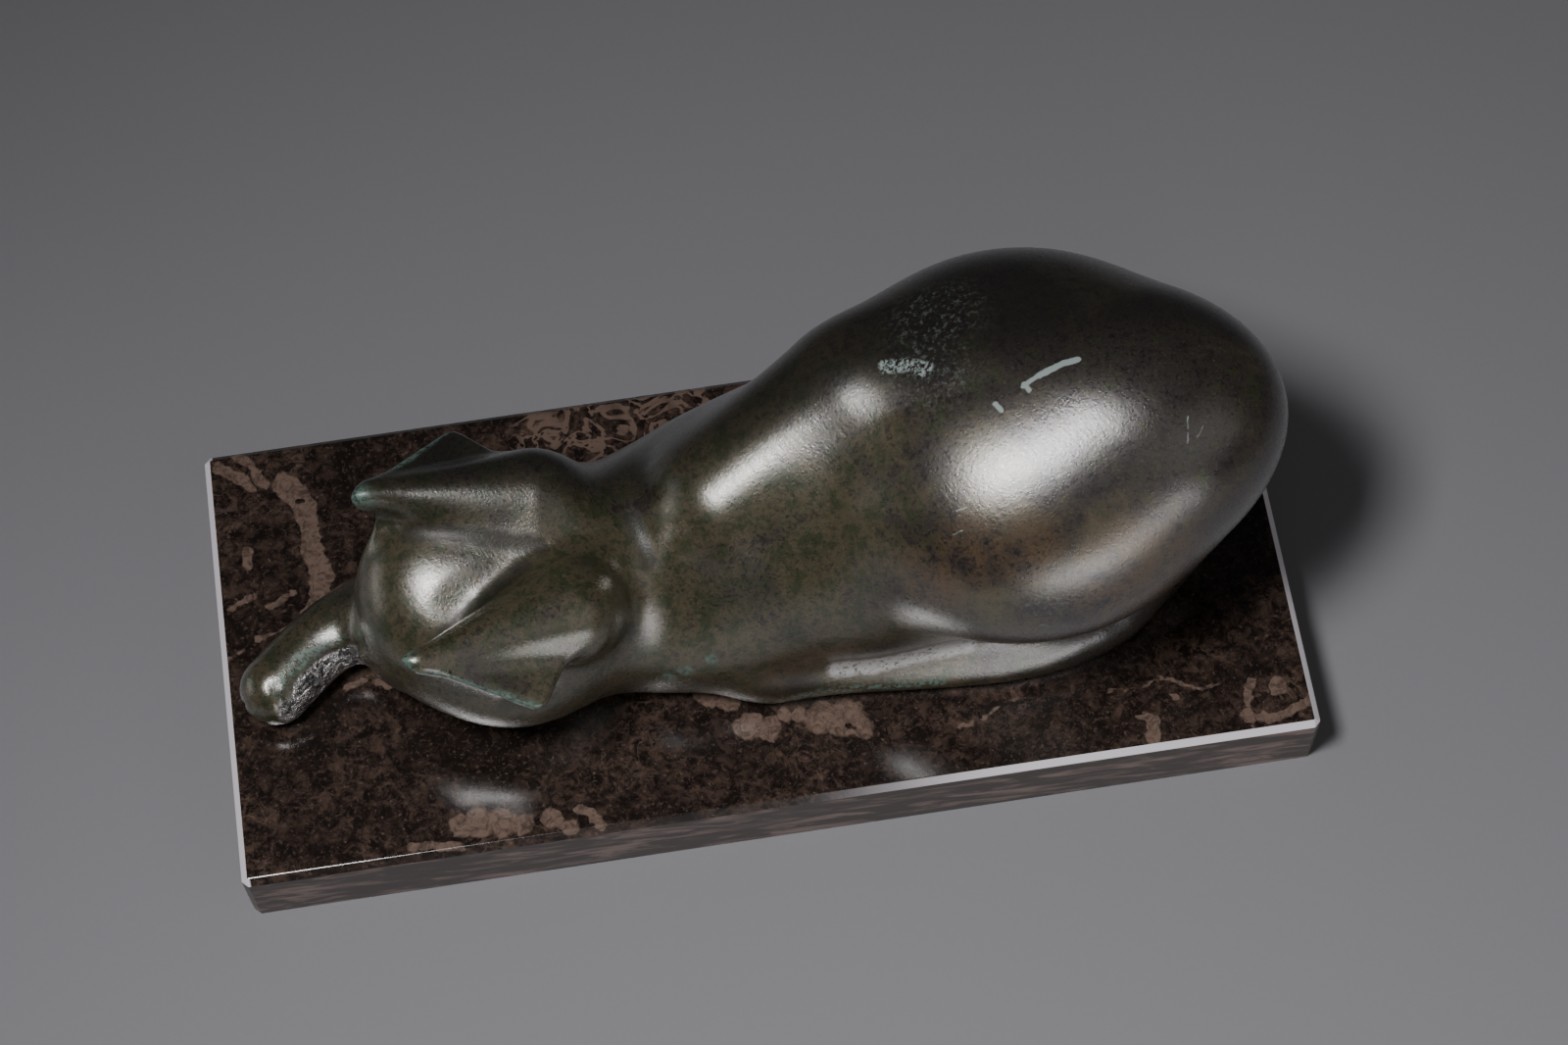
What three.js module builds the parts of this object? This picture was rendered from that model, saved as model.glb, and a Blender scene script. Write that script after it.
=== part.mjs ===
// A crouching cat cast in bronze, lying along a polished marble slab.
//
// Millimetres, +Z up. X runs along the slab, with the cat's head at -X and its rump at +X.
// -Y is the cat's near side, which its face is turned towards. The origin is the middle of
// the slab's underside.
//
// The cat is one casting, so it is one closed body. It is written as a field, which is
// negative inside the metal, built from rounded forms that flow into each other. The field
// is then meshed on a grid whose cells are smallest at the head.

import * as THREE from 'three';

// The chamfers run along the slab's top and upright edges. An upright one is a share as wide.
const SLAB = { length: 250, depth: 110, height: 20, chamfer: 1.5, uprightShare: 0.8 };

// Height of the cat's feet, which is the slab's top.
const GROUND = SLAB.height;

// The mid-plane of the hindquarters, a little to the far side of the slab's middle.
const MID_Y = 2;

// Hindquarters. A side is how far a form on each flank stands from the mid-plane.
const RUMP = {
  x: 72.6, y: 0.8, z: 72.8, length: 51.4, width: 38.2, height: 35.1, pitch: 28.5, turn: -11.2, taper: 0.0018,
};
const THIGH = { x: 63.4, side: 15.8, z: 72.2, length: 35.8, width: 29.8, height: 28.2, pitch: 3 };
const KNEE = { x: 26.2, side: 15.7, z: 44.1, length: 26.8, width: 13.1, height: 18, pitch: -12.5 };
const HOCK = { x: 72, side: 13, z: 35, length: 34, width: 14, height: 20 };
const BELLY = { x: 28, z: 40, length: 58, width: 25, height: 26 };

// Forequarters, as limbs between two balls of [x, y, z, radius] and an egg for the chest.
const BACK = [[47.4, 5.3, 61.9, 30.3], [-2, 4.6, 47.6, 25]];
const SHOULDER = [[26, 15.2, 76.1, 17.2], [-3.5, 2.3, 64.5, 16.7]];
const CHEST = { x: -17, y: -0.5, z: 39.4, length: 26.5, width: 27.5, height: 19.8 };
const NECK = [[-25.7, -1.2, 39.8, 18.1], [-38.6, -0.5, 46.9, 21.3]];

// The head hangs from a pivot in the neck, is turned to the near side, and looks down. Its
// forms are placed by how far forward they are, their side, and their height.
const HEAD = { pivotX: -35, pivotY: -1, turn: 9.8 };
const BROW = { forward: 37.9, z: 52.1, length: 16.6, width: 21, height: 23.8 };
const CROWN = { forward: 19.3, z: 50, length: 24, width: 24.4, height: 25 };
const CHEEK = { forward: 20.8, side: 12.7, z: 42.9, length: 20.7, width: 17.2, height: 17.3 };
const MUZZLE = [[34, 0, 42, 15], [45.3, 0, 34.5, 9.6]];

// The forehead is dressed flat across this place, and a valley runs along the foot of each ear.
const FOREHEAD = { forward: 36, side: 5, z: 74.4, facing: [0.16, 0.3, 0.938], edge: 4 };
const VALLEYS = [
  [[52, 12, 83.5, 7], [34, 14, 81.2, 8]],
  [[34, 14, 81.2, 8], [10, 4, 83.6, 8]],
  [[50, -12, 86, 8], [0, -9, 89, 8]],
];

// Both ears mirror each other about a plane a little to the near side of the head's middle.
// Corners of an ear as [forward, side, z]: the tip, the outer end of its open edge, where the
// ridge of its back sinks into the nape, and its foot inside the head. Its rims are softened,
// which draws them in, and the whole is swollen by about as much. A fold thickens it from the
// blunt tip along the ridge, and it is hollowed in front.
const EAR = {
  shift: 3.5,
  tip: [50.8, 19.8, 84.8],
  outer: [21.8, 37.1, 69.6],
  root: [6, 18, 73],
  foot: [32.7, 14, 48],
  soften: 5.5,
  swell: 0.8,
};
const EAR_FOLD = [[44.2, 20.8, 80.2, 2.5], [10, 13.5, 69.4, 8]];
const EAR_HOLLOW = [[41.5, 25.5, 71.5, 3.4], [34.5, 31, 65.5, 5.4]];

// Limbs that lie on the slab, as balls along each.
const NEAR_FORELEG = [[-6, -13, 36, 11], [-14, -15, 29, 9], [-34, -14.5, 28, 8.5], [-58, -12, 27, 7.5]];
const FAR_FORELEG = [
  [-8, 15, 38, 13], [-40, 13, 33, 11], [-74, 8.5, 30, 9.2], [-97, 0.8, 28, 8.3], [-112, -11.2, 27.3, 8.3],
];
const HIND_FOOT = [
  [90.7, -12.5, 26.3, 8.5], [81.3, -21, 26.3, 8.6], [63, -26.4, 26.3, 8.3], [31.8, -25.3, 26.3, 8.1],
  [3.7, -22.7, 26.3, 7.2],
];
const TAIL = [
  [104, 4, 50, 8], [108, 14, 36, 7.2], [102, 27, 27.5, 6.6], [84, 37, 26, 6], [54, 42, 25.6, 5.6],
  [24, 41, 25.2, 5], [4, 35, 24.8, 4.4],
];

// Widths of the fillets where the forms meet.
const FILLET = {
  knee: 14, belly: 10, hock: 8, foot: 4, haunches: 9, fore: 22, shoulder: 6, chest: 10, neck: 10, foreleg: 9,
  crown: 14, cheek: 9, muzzle: 8, valley: 5, fold: 3, ear: 5, hollow: 5, head: 12, tail: 5,
};

const degrees = THREE.MathUtils.degToRad;
const lerp = THREE.MathUtils.lerp;

// An ellipsoid's field, from its middle, its three radii, and in degrees its turn about Z and
// its pitch, which lifts its +X end.
function ellipsoid(x, y, z, length, width, height, pitch = 0, turn = 0, taper = 0) {
  const cos = Math.cos(degrees(pitch));
  const sin = Math.sin(degrees(pitch));
  const cosTurn = Math.cos(degrees(turn));
  const sinTurn = Math.sin(degrees(turn));
  return (px, py, pz) => {
    const dx = (px - x) * cosTurn + (py - y) * sinTurn;
    const dy = (py - y) * cosTurn - (px - x) * sinTurn;
    const dz = pz - z;
    const along = dx * cos + dz * sin;
    const narrowing = 1 - taper * along;
    const a = along / length;
    const b = dy / (width * narrowing);
    const c = (dz * cos - dx * sin) / (height * narrowing);
    const k0 = Math.hypot(a, b, c);
    const k1 = Math.hypot(a / length, b / width, c / height);
    return k1 === 0 ? -Math.min(length, width, height) : (k0 * (k0 - 1)) / k1;
  };
}

// The field of a limb between two balls, each [x, y, z, radius]. It tapers as a cone that
// touches both.
function limb([ax, ay, az, ra], [bx, by, bz, rb]) {
  const run = new THREE.Vector3(bx - ax, by - ay, bz - az);
  const length = run.length();
  const way = run.normalize();
  const narrowing = (ra - rb) / length;
  const lean = Math.sqrt(1 - narrowing * narrowing);
  return (px, py, pz) => {
    const dx = px - ax;
    const dy = py - ay;
    const dz = pz - az;
    const along = dx * way.x + dy * way.y + dz * way.z;
    const across = Math.sqrt(Math.max(dx * dx + dy * dy + dz * dz - along * along, 0));
    const place = lean * along - narrowing * across;
    if (place < 0) return Math.hypot(across, along) - ra;
    if (place > lean * length) return Math.hypot(across, along - length) - rb;
    return lean * across + narrowing * along - ra;
  };
}

// A limb through several balls along a smooth curve.
function bentLimb(balls, steps = 3) {
  const centres = new THREE.CatmullRomCurve3(balls.map(([x, y, z]) => new THREE.Vector3(x, y, z)));
  const radiusAt = (t) => {
    const place = t * (balls.length - 1);
    const index = Math.min(balls.length - 2, Math.floor(place));
    return lerp(balls[index][3], balls[index + 1][3], place - index);
  };
  const ballAt = (t) => [...centres.getPoint(t).toArray(), radiusAt(t)];
  const count = steps * (balls.length - 1);
  const parts = [];
  for (let i = 0; i < count; i += 1) {
    parts.push(limb(ballAt(i / count), ballAt((i + 1) / count)));
  }
  return (x, y, z) => Math.min(...parts.map((part) => part(x, y, z)));
}

// Joins two fields with a fillet about as wide as soft.
function softMin(a, b, soft) {
  const h = Math.max(soft - Math.abs(a - b), 0) / soft;
  return Math.min(a, b) - h * h * soft * 0.25;
}

const softMax = (a, b, soft) => -softMin(-a, -b, soft);

// Joins a list of [field, fillet] pairs in turn.
function blend(pairs) {
  return (x, y, z) => {
    let value = Infinity;
    for (const [field, soft] of pairs) {
      const next = field(x, y, z);
      value = value === Infinity ? next : softMin(value, next, soft);
    }
    return value;
  };
}

// A solid between four corners with softened edges. The first face is the one that leaves
// out the last corner.
function softTetrahedron(corners, soft) {
  const points = corners.map((corner) => new THREE.Vector3(...corner));
  const middle = new THREE.Vector3();
  points.forEach((point) => middle.addScaledVector(point, 1 / points.length));
  const planes = [3, 2, 1, 0].map((left) => {
    const face = points.filter((point, index) => index !== left);
    const plane = new THREE.Plane().setFromCoplanarPoints(...face);
    return plane.distanceToPoint(middle) > 0 ? plane.negate() : plane;
  });
  return (x, y, z) => {
    const above = ({ normal, constant }) => normal.x * x + normal.y * y + normal.z * z + constant;
    return planes.map(above).reduce((value, next) => softMax(value, next, soft));
  };
}

// Turns world places into the head's own [forward, side, z], side being positive to the near.
function inHeadFrame(field) {
  const cos = Math.cos(degrees(HEAD.turn));
  const sin = Math.sin(degrees(HEAD.turn));
  return (x, y, z) => {
    const dx = x - HEAD.pivotX;
    const dy = y - HEAD.pivotY;
    return field(-dx * cos - dy * sin, dx * sin - dy * cos, z);
  };
}

// The skull with its muzzle, the same on both sides but for the dressed forehead and valleys.
function skullField() {
  const half = blend([
    [ellipsoid(BROW.forward, 0, BROW.z, BROW.length, BROW.width, BROW.height), 0],
    [ellipsoid(CROWN.forward, 0, CROWN.z, CROWN.length, CROWN.width, CROWN.height), FILLET.crown],
    [ellipsoid(CHEEK.forward, CHEEK.side, CHEEK.z, CHEEK.length, CHEEK.width, CHEEK.height), FILLET.cheek],
    [limb(...MUZZLE), FILLET.muzzle],
  ]);
  const facing = new THREE.Vector3(...FOREHEAD.facing).normalize();
  const flat = new THREE.Plane().setFromNormalAndCoplanarPoint(
    facing, new THREE.Vector3(FOREHEAD.forward, FOREHEAD.side, FOREHEAD.z));
  const valleys = VALLEYS.map((balls) => limb(...balls));
  return (forward, side, z) => {
    const above = facing.x * forward + facing.y * side + facing.z * z + flat.constant;
    const dressed = softMax(half(forward, Math.abs(side), z), above, FOREHEAD.edge);
    const carve = (value, valley) => softMax(value, -valley(forward, side, z), FILLET.valley);
    return valleys.reduce(carve, dressed);
  };
}

function headField() {
  const skull = skullField();
  const wedge = softTetrahedron([EAR.tip, EAR.outer, EAR.root, EAR.foot], EAR.soften);
  const rounded = (forward, side, z) => wedge(forward, side, z) - EAR.swell;
  const ear = blend([[rounded, 0], [limb(...EAR_FOLD), FILLET.fold]]);
  const hollow = limb(...EAR_HOLLOW);
  return inHeadFrame((forward, side, z) => {
    const across = Math.abs(side - EAR.shift);
    const head = softMin(skull(forward, side, z), ear(forward, across, z), FILLET.ear);
    return softMax(head, -hollow(forward, across, z), FILLET.hollow);
  });
}

function hindquartersField() {
  const flank = ({ x, side, z, length, width, height, pitch }) => (
    ellipsoid(x, MID_Y - side, z, length, width, height, pitch));
  const { x, y, z, length, width, height, pitch, turn, taper } = RUMP;
  const rump = ellipsoid(x, y, z, length, width, height, pitch, turn, taper);
  const belly = ellipsoid(BELLY.x, MID_Y, BELLY.z, BELLY.length, BELLY.width, BELLY.height);
  const leg = blend([
    [flank(THIGH), 0], [flank(KNEE), FILLET.knee], [belly, FILLET.belly], [flank(HOCK), FILLET.hock],
    [bentLimb(HIND_FOOT), FILLET.foot],
  ]);
  const nearSide = (py) => MID_Y - Math.abs(py - MID_Y);
  return (px, py, pz) => softMin(rump(px, py, pz), leg(px, nearSide(py), pz), FILLET.haunches);
}

function forequartersField() {
  const chest = ellipsoid(CHEST.x, CHEST.y, CHEST.z, CHEST.length, CHEST.width, CHEST.height);
  return blend([
    [limb(...BACK), 0],
    [limb(...SHOULDER), FILLET.shoulder],
    [chest, FILLET.chest],
    [limb(...NECK), FILLET.neck],
    [bentLimb(NEAR_FORELEG), FILLET.foreleg],
    [bentLimb(FAR_FORELEG), FILLET.foreleg],
  ]);
}

function catField() {
  return blend([
    [hindquartersField(), 0], [forequartersField(), FILLET.fore], [headField(), FILLET.head],
    [bentLimb(TAIL), FILLET.tail],
  ]);
}

// Grid positions from one end to the other, with the step that stepAt gives at each place.
function gradedAxis(from, to, stepAt) {
  const places = [from];
  while (places[places.length - 1] < to) {
    const last = places[places.length - 1];
    places.push(last + stepAt(last));
  }
  return places;
}

const smoothStep = THREE.MathUtils.smoothstep;

// The twelve edges of a grid cell, as pairs of its corners.
const CELL_EDGES = [[0, 0], [0, 1], [1, 0], [1, 1]].flatMap(([p, q]) => [
  [[0, p, q], [1, p, q]],
  [[p, 0, q], [p, 1, q]],
  [[p, q, 0], [p, q, 1]],
]);

// The place of a cell's edge in that list: it runs along an axis, at p and q on the other two.
const edgePlace = (axis, p, q) => (p * 2 + q) * 3 + axis;

// The four edges around each of a cell's six faces, in order.
const CELL_FACES = [0, 1].flatMap((side) => [
  [edgePlace(1, side, 0), edgePlace(2, side, 1), edgePlace(1, side, 1), edgePlace(2, side, 0)],
  [edgePlace(0, side, 0), edgePlace(2, 1, side), edgePlace(0, side, 1), edgePlace(2, 0, side)],
  [edgePlace(0, 0, side), edgePlace(1, 1, side), edgePlace(0, 1, side), edgePlace(1, 0, side)],
]);

// A cell whose slopes differ by more than this cosine holds an edge of the form.
const SHARP = 0.1;

// How strongly a corner at such an edge leans back to the middle of its crossings.
const LEAN = 0.04;

// How far apart the field is read for its slope, the longest single move of a corner onto the
// surface, how often it moves, and the slope under which it rests, squared.
const SLOPE_REACH = 0.05;
const LONGEST_MOVE = 1;
const SETTLE_TURNS = 4;
const FLAT_SLOPE = 1e-6;

// The point that lies best on several planes at once, each a point and a unit normal, so that
// edges and tips come out sharp.
function meetingPoint(points, normals, middle) {
  const sums = new THREE.Matrix3().set(LEAN, 0, 0, 0, LEAN, 0, 0, 0, LEAN);
  const target = new THREE.Vector3();
  for (let i = 0; i < points.length; i += 1) {
    const n = normals[i];
    const offset = n.dot(new THREE.Vector3().subVectors(points[i], middle));
    target.addScaledVector(n, offset);
    const parts = n.toArray();
    const products = parts.flatMap((part) => parts.map((other) => part * other));
    products.forEach((product, place) => { sums.elements[place] += product; });
  }
  return target.applyMatrix3(sums.invert()).add(middle);
}

// The corner of a cell that two of its edges share.
function sharedCorner(a, b) {
  return CELL_EDGES[a].find((corner) => CELL_EDGES[b].some((other) => String(other) === String(corner)));
}

// Sorts a cell's crossed edges into sheets of the surface. On a face that is crossed four
// times, the two edges that meet at an inside corner belong together.
function sheetsOfCell(crossed, cornerInside) {
  const sheet = CELL_EDGES.map((edge, place) => place);
  const join = (a, b) => {
    const from = sheet[a];
    const to = sheet[b];
    sheet.forEach((value, place) => { if (value === from) sheet[place] = to; });
  };
  for (const face of CELL_FACES) {
    const hits = face.filter((place) => crossed[place]);
    if (hits.length === 2) join(hits[0], hits[1]);
    if (hits.length === 4) {
      face.forEach((place, turn) => {
        const next = face[(turn + 1) % face.length];
        if (cornerInside(sharedCorner(place, next))) join(place, next);
      });
    }
  }
  const groups = new Map();
  CELL_EDGES.forEach((edge, place) => {
    if (!crossed[place]) return;
    if (!groups.has(sheet[place])) groups.set(sheet[place], []);
    groups.get(sheet[place]).push(place);
  });
  return [...groups.values()];
}

// Meshes a field where it crosses zero, with a corner for each sheet of the surface in each
// grid cell, and cuts it flat at the ground.
function meshField(field, xs, ys, zs, ground) {
  const nx = xs.length;
  const ny = ys.length;
  const nz = zs.length;
  const at = (i, j, k) => i + nx * (j + ny * k);
  const values = new Float64Array(nx * ny * nz);
  for (let k = 0; k < nz; k += 1) {
    for (let j = 0; j < ny; j += 1) {
      for (let i = 0; i < nx; i += 1) {
        values[at(i, j, k)] = Math.max(field(xs[i], ys[j], zs[k]), ground - zs[k]);
      }
    }
  }
  const gradient = (x, y, z) => {
    const e = SLOPE_REACH;
    return [
      (field(x + e, y, z) - field(x - e, y, z)) / (2 * e),
      (field(x, y + e, z) - field(x, y - e, z)) / (2 * e),
      (field(x, y, z + e) - field(x, y, z - e)) / (2 * e),
    ];
  };
  // Moves a corner onto the surface, along the surface's own slope. A corner on the ground
  // stays on it.
  const settle = (point, onGround, onRim) => {
    let [x, y, z] = point;
    if (onGround) {
      z = ground;
      if (!onRim) return [x, y, z];
    }
    for (let turn = 0; turn < SETTLE_TURNS; turn += 1) {
      const value = field(x, y, z);
      const [gx, gy, gz] = gradient(x, y, z);
      const squared = gx * gx + gy * gy + (onGround ? 0 : gz * gz);
      if (squared < FLAT_SLOPE) break;
      const move = THREE.MathUtils.clamp(value / squared, -LONGEST_MOVE, LONGEST_MOVE);
      x -= move * gx;
      y -= move * gy;
      if (!onGround) z -= move * gz;
    }
    return [x, y, Math.max(z, ground)];
  };
  // Where a grid edge crosses the surface.
  const crossing = (i, j, k, a, b) => {
    const va = values[at(i + a[0], j + a[1], k + a[2])];
    const vb = values[at(i + b[0], j + b[1], k + b[2])];
    if (va < 0 === vb < 0) return null;
    const from = new THREE.Vector3(xs[i + a[0]], ys[j + a[1]], zs[k + a[2]]);
    const to = new THREE.Vector3(xs[i + b[0]], ys[j + b[1]], zs[k + b[2]]);
    return from.lerp(to, va / (va - vb));
  };
  // The corner of one sheet inside a cell, from the points where its edges cross.
  const sheetCorner = (i, j, k, sheet, crossings) => {
    const points = sheet.map((place) => crossings[place]);
    const middle = new THREE.Vector3();
    points.forEach((point) => middle.addScaledVector(point, 1 / points.length));
    if (zs[k] < ground) {
      const walls = sheet.some((place) => CELL_EDGES[place][0][2] === CELL_EDGES[place][1][2]);
      return settle(middle.toArray(), true, walls);
    }
    const normals = points.map(({ x, y, z }) => new THREE.Vector3(...gradient(x, y, z)).normalize());
    const bend = Math.min(...normals.map((normal) => normal.dot(normals[0])));
    if (bend > SHARP) return settle(middle.toArray(), false, false);
    const low = new THREE.Vector3(xs[i], ys[j], zs[k]);
    const high = new THREE.Vector3(xs[i + 1], ys[j + 1], zs[k + 1]);
    return meetingPoint(points, normals, middle).clamp(low, high).toArray();
  };
  const vertices = [];
  const edges = CELL_EDGES.length;
  const edgeVertex = new Int32Array(nx * ny * nz * edges).fill(-1);
  for (let k = 0; k + 1 < nz; k += 1) {
    for (let j = 0; j + 1 < ny; j += 1) {
      for (let i = 0; i + 1 < nx; i += 1) {
        const crossings = CELL_EDGES.map(([a, b]) => crossing(i, j, k, a, b));
        if (!crossings.some((point) => point)) continue;
        const inside = ([a, b, c]) => values[at(i + a, j + b, k + c)] < 0;
        for (const sheet of sheetsOfCell(crossings, inside)) {
          const vertex = vertices.push(sheetCorner(i, j, k, sheet, crossings)) - 1;
          sheet.forEach((place) => { edgeVertex[at(i, j, k) * edges + place] = vertex; });
        }
      }
    }
  }
  const triangles = [];
  const distance = (a, b) => Math.hypot(
    vertices[a][0] - vertices[b][0], vertices[a][1] - vertices[b][1], vertices[a][2] - vertices[b][2]);
  const quad = (a, b, c, d, flip) => {
    const corners = flip ? [a, d, c, b] : [a, b, c, d];
    const [p, q, r, s] = corners;
    if (distance(p, r) <= distance(q, s)) triangles.push(p, q, r, p, r, s);
    else triangles.push(q, r, s, q, s, p);
  };
  for (let k = 1; k < nz - 1; k += 1) {
    for (let j = 1; j < ny - 1; j += 1) {
      for (let i = 1; i < nx - 1; i += 1) {
        const here = values[at(i, j, k)] < 0;
        const v = (axis, p, q) => {
          const [a, b, c] = [[0, p, q], [p, 0, q], [p, q, 0]][axis];
          return edgeVertex[at(i - a, j - b, k - c) * edges + edgePlace(axis, p, q)];
        };
        if (here !== values[at(i + 1, j, k)] < 0) quad(v(0, 1, 1), v(0, 0, 1), v(0, 0, 0), v(0, 1, 0), !here);
        if (here !== values[at(i, j + 1, k)] < 0) quad(v(1, 1, 1), v(1, 1, 0), v(1, 0, 0), v(1, 0, 1), !here);
        if (here !== values[at(i, j, k + 1)] < 0) quad(v(2, 1, 1), v(2, 0, 1), v(2, 0, 0), v(2, 1, 0), !here);
      }
    }
  }
  return indexedGeometry(vertices, triangles);
}

function indexedGeometry(points, triangles) {
  const geometry = new THREE.BufferGeometry();
  geometry.setAttribute('position', new THREE.Float32BufferAttribute(points.flat(), 3));
  geometry.setIndex(triangles);
  geometry.computeVertexNormals();
  return geometry;
}

// The grid spans the cat with a margin. Its cells are coarse on the smooth body, and fine
// around the head and its ears, between the places given here. Above the ears they grow by
// the share.
const GRID = {
  from: [-127, -52, GROUND - 4.35],
  to: [129, 56, 129],
  coarse: [6.9, 4.6, 4.35],
  fine: [2.7, 3.2, 2.7],
  head: { fromX: -12, toX: -38, pawFromX: -84, pawToX: -90, pawShare: 0.7 },
  sides: { from: 8, to: 18 },
  ears: { from: 48, to: 58, endFrom: 84, endTo: 92, above: 1.6 },
};

function catGeometry() {
  const { coarse, fine, head, sides, ears } = GRID;
  const share = {
    x: (x) => smoothStep(-x, -head.fromX, -head.toX)
      * (1 - head.pawShare * smoothStep(-x, -head.pawFromX, -head.pawToX)),
    y: (y) => smoothStep(Math.abs(y), sides.from, sides.to),
    z: (z) => smoothStep(z, ears.from, ears.to) - ears.above * smoothStep(z, ears.endFrom, ears.endTo),
  };
  const axes = ['x', 'y', 'z'].map((name, axis) => gradedAxis(
    GRID.from[axis], GRID.to[axis], (place) => lerp(coarse[axis], fine[axis], share[name](place))));
  return meshField(catField(), ...axes, GROUND);
}

// A slab with its upright and top edges chamfered, and its underside edges left square.
function slabGeometry() {
  const { length, depth, height, chamfer, uprightShare } = SLAB;
  const cut = chamfer * uprightShare;
  const outline = (inset) => {
    const x = length / 2 - inset;
    const y = depth / 2 - inset;
    const right = [[x - cut, -y], [x, cut - y], [x, y - cut], [x - cut, y]];
    return [...right, ...right.map(([px, py]) => [-px, -py])];
  };
  const levels = [[0, 0], [0, height - chamfer], [chamfer, height]];
  const points = levels.flatMap(([inset, z]) => outline(inset).map(([x, y]) => [x, y, z]));
  const count = outline(0).length;
  const triangles = [];
  for (let level = 0; level + 1 < levels.length; level += 1) {
    for (let i = 0; i < count; i += 1) {
      const a = level * count + i;
      const b = level * count + (i + 1) % count;
      triangles.push(a, b, b + count, a, b + count, a + count);
    }
  }
  const top = (levels.length - 1) * count;
  for (let i = 1; i + 1 < count; i += 1) {
    triangles.push(top, top + i, top + i + 1, 0, i + 1, i);
  }
  return indexedGeometry(points, triangles);
}

const bronze = new THREE.MeshStandardMaterial({ color: 0x2e2a20, roughness: 0.38, metalness: 0.85 });
const marble = new THREE.MeshStandardMaterial({ color: 0x3a2a22, roughness: 0.2, metalness: 0 });

const cat = new THREE.Mesh(catGeometry(), bronze);
cat.name = 'bronze_cat';

const slab = new THREE.Mesh(slabGeometry(), marble);
slab.name = 'marble_plinth';

const group = new THREE.Group();
group.add(cat, slab);

export default group;
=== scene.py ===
"""A crouching bronze cat on a polished marble plinth: its fine surface, finishes, light and camera.

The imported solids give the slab's box and the mesh that the casting starts from. That mesh is cut
finer, and is then settled onto the same rounded forms that the solid was made from, with the smaller
features that a step closer shows. All forms are sized in millimetres.
"""

import math

import bmesh
import bpy
import numpy as np
from mathutils import Matrix, Vector


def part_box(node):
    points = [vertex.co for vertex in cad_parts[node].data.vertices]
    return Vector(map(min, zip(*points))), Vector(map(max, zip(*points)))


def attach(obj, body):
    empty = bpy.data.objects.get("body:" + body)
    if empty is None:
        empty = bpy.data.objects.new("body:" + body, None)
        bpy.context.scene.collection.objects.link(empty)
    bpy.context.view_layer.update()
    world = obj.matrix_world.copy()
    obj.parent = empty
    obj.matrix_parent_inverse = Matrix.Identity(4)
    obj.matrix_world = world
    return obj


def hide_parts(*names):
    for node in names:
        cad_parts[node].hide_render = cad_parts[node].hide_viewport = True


bl_info = {
    "name": "Bronze Cat Finisher",
    "version": (1, 0, 0),
    "blender": (4, 5, 0),
    "location": "View3D > Sidebar > Bronze Cat",
    "description": "Finishes a crouching bronze cat and its fossil marble plinth",
    "category": "Object",
}

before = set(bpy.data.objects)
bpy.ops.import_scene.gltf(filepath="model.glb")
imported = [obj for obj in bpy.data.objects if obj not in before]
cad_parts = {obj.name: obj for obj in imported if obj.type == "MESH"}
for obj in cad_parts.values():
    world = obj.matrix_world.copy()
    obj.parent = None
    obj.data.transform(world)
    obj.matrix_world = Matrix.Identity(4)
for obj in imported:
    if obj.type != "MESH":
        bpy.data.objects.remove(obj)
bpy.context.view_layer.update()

MM = 0.001
PER_METRE = 1000.0
SLAB_LOW, SLAB_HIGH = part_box("marble_plinth")
GROUND = SLAB_HIGH.z * PER_METRE

# The cat's forms, in millimetres and degrees. A limb is a row of balls, each x, y, z and radius.
MID_Y = 2.0
RUMP = dict(middle=(72.6, 0.8, 72.8), radii=(51.4, 38.2, 35.1), pitch=28.5, turn=-11.2, taper=0.0018)
THIGH = dict(middle=(63.4, -13.8, 72.2), radii=(35.8, 29.8, 28.2), pitch=3.0)
KNEE = dict(middle=(26.2, -13.7, 44.1), radii=(26.8, 13.1, 18.0), pitch=-12.5)
HOCK = dict(middle=(72.0, -11.0, 35.0), radii=(34.0, 14.0, 20.0))
BELLY = dict(middle=(28.0, 2.0, 40.0), radii=(58.0, 25.0, 26.0))
BACK = ((47.4, 5.3, 61.9, 30.3), (-2.0, 4.6, 47.6, 25.0))
SHOULDER = ((26.0, 15.2, 76.1, 17.2), (-3.5, 2.3, 64.5, 16.7))
CHEST = dict(middle=(-17.0, -0.5, 39.4), radii=(26.5, 27.5, 19.8))
NECK = ((-25.7, -1.2, 39.8, 18.1), (-38.6, -0.5, 46.9, 21.3))
NEAR_FORELEG = ((-6, -13, 36, 11), (-14, -15, 29, 9), (-34, -14.5, 28, 8.5), (-58, -12, 27, 7.5))
FAR_FORELEG = (
    (-8, 15, 38, 13), (-40, 13, 33, 11), (-74, 8.5, 30, 9.2), (-97, 0.8, 28, 8.3), (-112, -11.2, 27.3, 8.3),
)
HIND_FOOT = (
    (90.7, -12.5, 26.3, 8.5), (81.3, -21, 26.3, 8.6), (63, -26.4, 26.3, 8.3), (31.8, -25.3, 26.3, 8.1),
    (3.7, -22.7, 26.3, 7.2),
)
FOOT_FACET = dict(middle=(30.0, -30.7, 31.0), facing=(-0.04, -0.77, 0.64), fillet=1.2)
TAIL = (
    (104, 4, 50, 8), (108, 14, 36, 7.2), (102, 27, 27.5, 6.6), (84, 37, 26, 6), (54, 42, 25.6, 5.6),
    (24, 41, 25.2, 5), (4, 35, 24.8, 4.4),
)

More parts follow.
